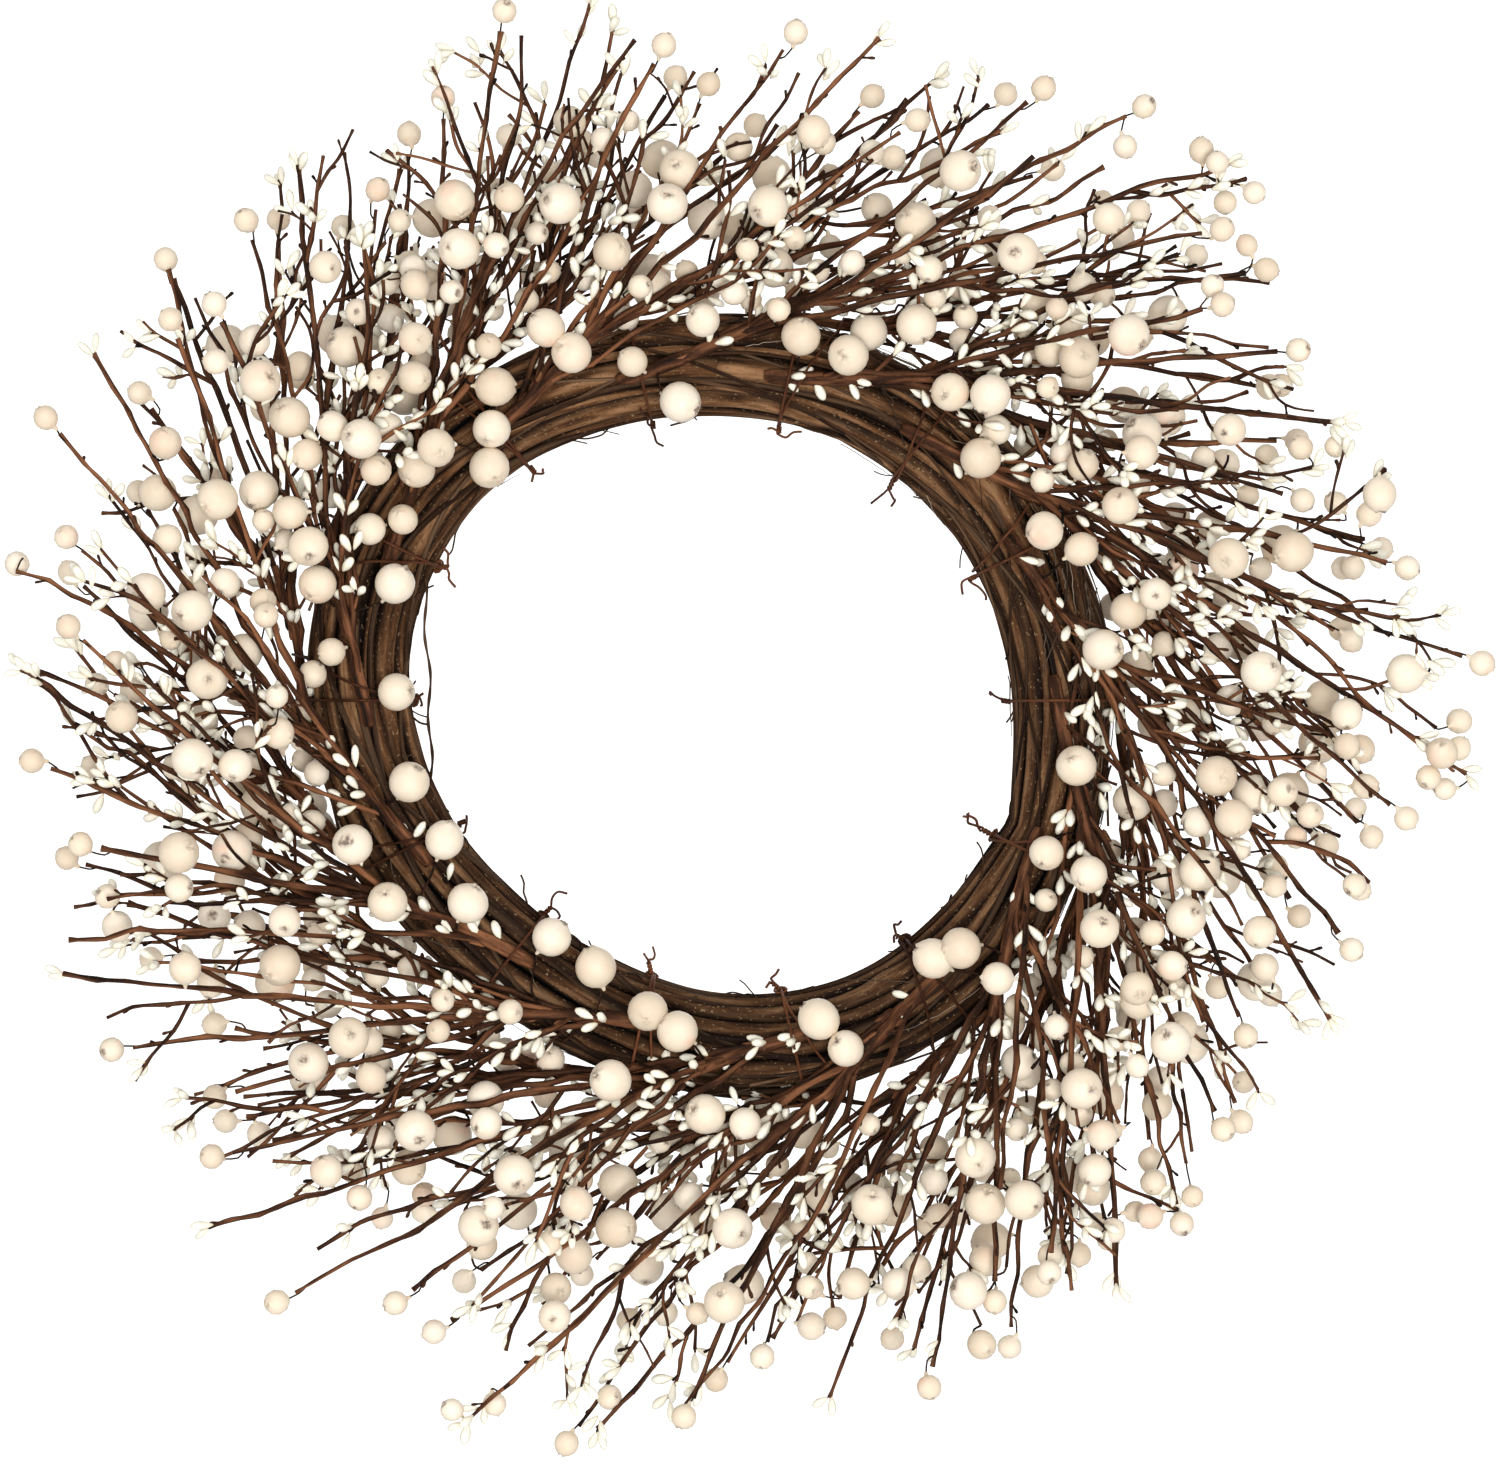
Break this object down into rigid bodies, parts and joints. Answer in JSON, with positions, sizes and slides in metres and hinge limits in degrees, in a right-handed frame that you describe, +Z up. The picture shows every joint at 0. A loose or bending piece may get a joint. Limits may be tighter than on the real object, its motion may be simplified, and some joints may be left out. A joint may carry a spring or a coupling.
{
  "type": "berry wreath",
  "caption": "Hanging wreath of cream berries and pips on paper-wrapped wire stems, swirling clockwise round a grapevine ring with an open centre",
  "frame": {"origin": "Underside of the ring's top, in the ring's middle plane, where the hook bears", "axes": "+Z is up, the front faces -Y, +X is to the right as seen from the front"},
  "size_m": [0.5581, 0.0964, 0.5555],
  "materials": {
    "vine_bark": "dry fibrous bark, matte",
    "thin_vine": "dark thin vine, matte",
    "tie_wire": "dark brown coated wire, matte",
    "berry_spray": "cream foam berries, matte, on brown paper-wrapped wire stems"
  },
  "bodies": {
    "root": {"core_cane": "vine_bark", "cane_1": "vine_bark", "cane_2": "vine_bark", "cane_3": "vine_bark", "cane_4": "vine_bark", "cane_5": "vine_bark", "cane_6": "vine_bark", "cane_7": "vine_bark", "runner_1": "thin_vine", "runner_2": "thin_vine", "runner_3": "thin_vine", "tie_1": "tie_wire", "tie_2": "tie_wire", "tie_3": "tie_wire", "tie_4": "tie_wire", "tie_5": "tie_wire", "tie_6": "tie_wire", "tie_7": "tie_wire", "tie_8": "tie_wire", "tie_9": "tie_wire", "tie_10": "tie_wire", "tie_11": "tie_wire", "tie_12": "tie_wire", "tie_13": "tie_wire", "tie_14": "tie_wire", "front_spray_1": "berry_spray", "front_spray_2": "berry_spray", "front_spray_3": "berry_spray", "front_spray_4": "berry_spray", "front_spray_5": "berry_spray", "front_spray_6": "berry_spray", "front_spray_7": "berry_spray", "front_spray_8": "berry_spray", "front_spray_9": "berry_spray", "front_spray_10": "berry_spray", "front_spray_11": "berry_spray", "front_spray_12": "berry_spray", "front_spray_13": "berry_spray", "front_spray_14": "berry_spray", "back_spray_1": "berry_spray", "back_spray_2": "berry_spray", "back_spray_3": "berry_spray", "back_spray_4": "berry_spray", "back_spray_5": "berry_spray", "back_spray_6": "berry_spray", "back_spray_7": "berry_spray", "back_spray_8": "berry_spray", "back_spray_9": "berry_spray", "back_spray_10": "berry_spray", "back_spray_11": "berry_spray", "back_spray_12": "berry_spray", "back_spray_13": "berry_spray", "back_spray_14": "berry_spray"}
  },
  "joints": []
}
